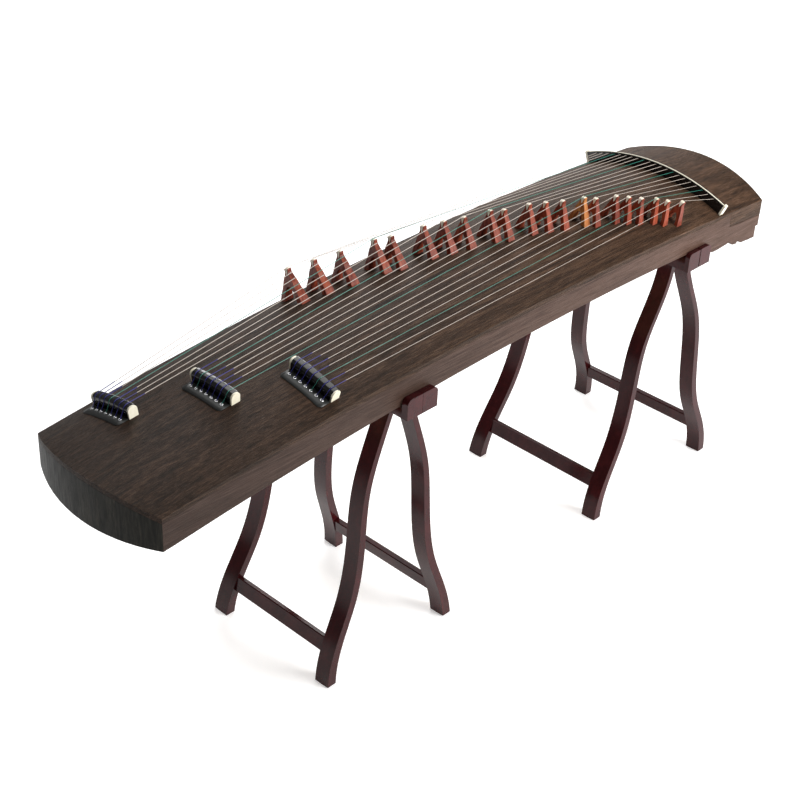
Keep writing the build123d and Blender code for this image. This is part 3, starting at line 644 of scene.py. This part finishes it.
def along(points, length):
    """The part of a run of points that is length long, from its start."""
    made = [points[0]]
    left = length
    for a, b in zip(points, points[1:]):
        step = (b - a).length
        if step >= left:
            return made + [a + (b - a) * (left / step)]
        made.append(b)
        left -= step
    return made


def resample(points, spacing):
    total = sum((b - a).length for a, b in zip(points, points[1:]))
    count = max(2, int(total / spacing))
    return [along(points, total * n / count)[-1] for n in range(count + 1)]


for i in range(STRING_COUNT):
    bm = bmesh.new()
    run = doubled(string_run(i))
    add_tube(bm, run, [string_radius(i)] * len(run))
    coil = pin_coil(i)
    add_tube(bm, coil, [string_radius(i)] * len(coil), sides=8)
    thread = GREEN if i in GREEN_STRINGS else CREAM
    new_object(f"string_{i + 1:02d}", bm, thread, "soundbox")
    if i in GREEN_STRINGS:
        continue
    bm = bmesh.new()
    length = WINDING_LENGTH + WINDING_SPREAD * math.sin(2.1 * i)
    wrapped = resample(along(string_run(i)[1:], length), WINDING_PITCH)
    r = string_radius(i)
    ridges = [r + (WINDING_CREST if n % 2 else WINDING_VALLEY) for n in range(len(wrapped))]
    add_tube(bm, wrapped, ridges, sides=10)
    new_object(f"winding_{i + 1:02d}", bm, BLUE, "soundbox")
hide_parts("strings")


# --- Bridges ---
def bridge_outline(height, foot):
    """Half outline of a bridge, from its crown down the flank to the foot and up the arch."""
    inner = foot * ARCH_SHARE
    flank = [
        (BONE_WIDTH / 2 + 0.0004, height - CROWN_DROP),
        (CROWN_HALF, height - SHOULDER_DROP),
        (CROWN_HALF - 0.0004, height * 0.84),
        (0.0035 + 0.28 * foot, height * 0.62),
        (0.0035 + 0.42 * foot, height * 0.44),
        (0.0010 + 0.76 * foot, height * 0.20),
        (foot, -0.003),
    ]
    arch = [
        (inner, -0.003),
        (inner * 0.94, height * 0.10),
        (inner * 0.72, height * 0.28),
        (inner * 0.36, height * 0.42),
        (0.0, height * 0.46),
    ]
    return smooth_line(flank, 6), smooth_line(arch, 6)


def bridge_half_thickness(i, z):
    """Half thickness of bridge i at height z, which shrinks evenly from the feet to the top."""
    share = min(max(z / bridge_height(i), 0.0), 1.0)
    foot = THICKEST_FOOT - THICKNESS_SHRINK * i
    return (foot + (TOP_THICKNESS - foot) * share) / 2


def make_bridge(i):
    """Two-footed bridge whose plate thins towards the crest; its feet follow the arch."""
    height = bridge_height(i)
    flank, arch = bridge_outline(height, WIDEST_FOOT - FOOT_SHRINK * i)
    half = [(BONE_WIDTH / 2 - 0.0004, height - CROWN_DROP)] + flank + arch
    left = [(-y, z) for y, z in reversed(half[:-1])]
    outline = half + left
    place = on_board(BRIDGE_XS[i], bridge_y(i))

    def lift(y, z):
        floor = math.sqrt((ARCH_RADIUS + FOOT_GAP) ** 2 - y**2) - ARCH_RADIUS
        return max(z, floor)

    bm = bmesh.new()
    loops = []
    for sign in (-1, 1):
        loops.append([place @ Vector((sign * bridge_half_thickness(i, z), y, lift(y, z)))
                      for y, z in outline])
    add_loft(bm, loops)
    name = f"bridge_{i + 1:02d}_wood"
    body = f"bridge_{i + 1:02d}_body"
    obj = new_object(name, bm, YELLOW_ROSEWOOD if i == YELLOW_BRIDGE else ROSEWOOD, body)
    soften(obj, 0.0007, 2, angle=50)
    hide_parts(f"bridge_{i + 1:02d}")
    make_bone_insert(i, place, height, body)


def make_bone_insert(i, place, height, body):
    """Bone wedge let into the crest, with a rounded top that the string crosses."""
    half = BONE_WIDTH / 2 - 0.0002
    top = height - 0.0004
    depth = height - BONE_DEPTH
    outline = [(-half, top), (-half * 0.7, height), (half * 0.7, height), (half, top),
               (0.0009, depth), (-0.0009, depth)]
    bm = bmesh.new()
    loops = []
    for across, fall in ((-1.0, 0.0010), (-0.55, 0.0004), (0.0, 0.0), (0.55, 0.0004), (1.0, 0.0010)):
        loop = []
        for y, z in outline:
            reach = across * (bridge_half_thickness(i, z) + BONE_PROUD)
            loop.append(place @ Vector((reach, y, z - (fall if z > depth + 0.001 else 0.0))))
        loops.append(loop)
    add_loft(bm, loops)
    obj = new_object(f"bridge_{i + 1:02d}_bone", bm, BONE, body)
    soften(obj, 0.0003, 2)


for i in range(STRING_COUNT):
    make_bridge(i)

# --- Stands ---
for stand in ("tail_stand", "head_stand"):
    for side in ("tailward", "headward"):
        soften(paint(f"{stand}_{side}_frame", LACQUER), 0.0022, 3, angle=30)
        soften(paint(f"{stand}_{side}_hinges", BRASS), 0.0003, 1)


# --- Floor, light and camera ---
FLOOR_GLOW = 0.50


def make_floor():
    material, tree, principled = shader("pale_floor")
    principled.inputs["Roughness"].default_value = 0.75
    spots = noise(tree, stretched(tree, (1, 1, 1)), 30.0)
    colour = ramp(tree, spots, [(0.3, grey(0.86)), (0.7, grey(0.88))])
    tree.links.new(colour, principled.inputs["Base Color"])
    tree.links.new(colour, principled.inputs["Emission Color"])
    principled.inputs["Emission Strength"].default_value = FLOOR_GLOW
    bm = bmesh.new()
    bmesh.ops.create_grid(bm, x_segments=8, y_segments=8, size=14)
    mesh = bpy.data.meshes.new("floor")
    bm.to_mesh(mesh)
    bm.free()
    floor = bpy.data.objects.new("floor", mesh)
    floor.location = (0, 0, CAD_BOX[0].z - 0.0002)
    bpy.context.scene.collection.objects.link(floor)
    mesh.materials.append(material)


def area_light(name, place, target, size, power):
    data = bpy.data.lights.new(name, "AREA")
    data.shape = "RECTANGLE"
    data.size, data.size_y = size
    data.energy = power
    light = bpy.data.objects.new(name, data)
    light.location = place
    aim = Vector(target) - Vector(place)
    light.rotation_euler = aim.to_track_quat("-Z", "Y").to_euler()
    bpy.context.scene.collection.objects.link(light)


def make_world(strength):
    world = bpy.data.worlds.new("studio")
    world.use_nodes = True
    background = world.node_tree.nodes["Background"]
    background.inputs["Color"].default_value = (1, 1, 1, 1)
    background.inputs["Strength"].default_value = strength
    bpy.context.scene.world = world


CAMERA_PLACE = (-1.93394, -1.66118, 1.99045)
CAMERA_YAW = 47.81
CAMERA_PITCH = -32.71
CAMERA_ROLL = 2.88
CAMERA_LENS = 71.957
CAMERA_SENSOR = 36.0


def make_camera():
    yaw, pitch, roll = (math.radians(a) for a in (CAMERA_YAW, CAMERA_PITCH, CAMERA_ROLL))
    ahead = Vector((math.sin(yaw) * math.cos(pitch), math.cos(yaw) * math.cos(pitch), math.sin(pitch)))
    level = Vector((math.cos(yaw), -math.sin(yaw), 0))
    up = level.cross(ahead)
    right = level * math.cos(roll) + up * math.sin(roll)
    up = up * math.cos(roll) - level * math.sin(roll)
    data = bpy.data.cameras.new("camera")
    data.lens = CAMERA_LENS
    data.sensor_width = CAMERA_SENSOR
    camera = bpy.data.objects.new("camera", data)
    turn = Matrix((right, up, -ahead)).transposed().to_4x4()
    camera.matrix_world = Matrix.Translation(CAMERA_PLACE) @ turn
    bpy.context.scene.collection.objects.link(camera)
    bpy.context.scene.camera = camera


make_floor()
make_world(0.17)
area_light("key", (1.4, -3.6, 1.7), (0.1, 0, 0.35), (2.2, 1.8), 230)
area_light("overhead", (0.6, 0.8, 3.4), (0.1, 0, 0.4), (3.2, 3.2), 75)
area_light("back", (2.6, 2.8, 2.4), (0.2, 0, 0.6), (2.2, 1.8), 80)
make_camera()
bpy.context.scene.view_settings.view_transform = "Standard"
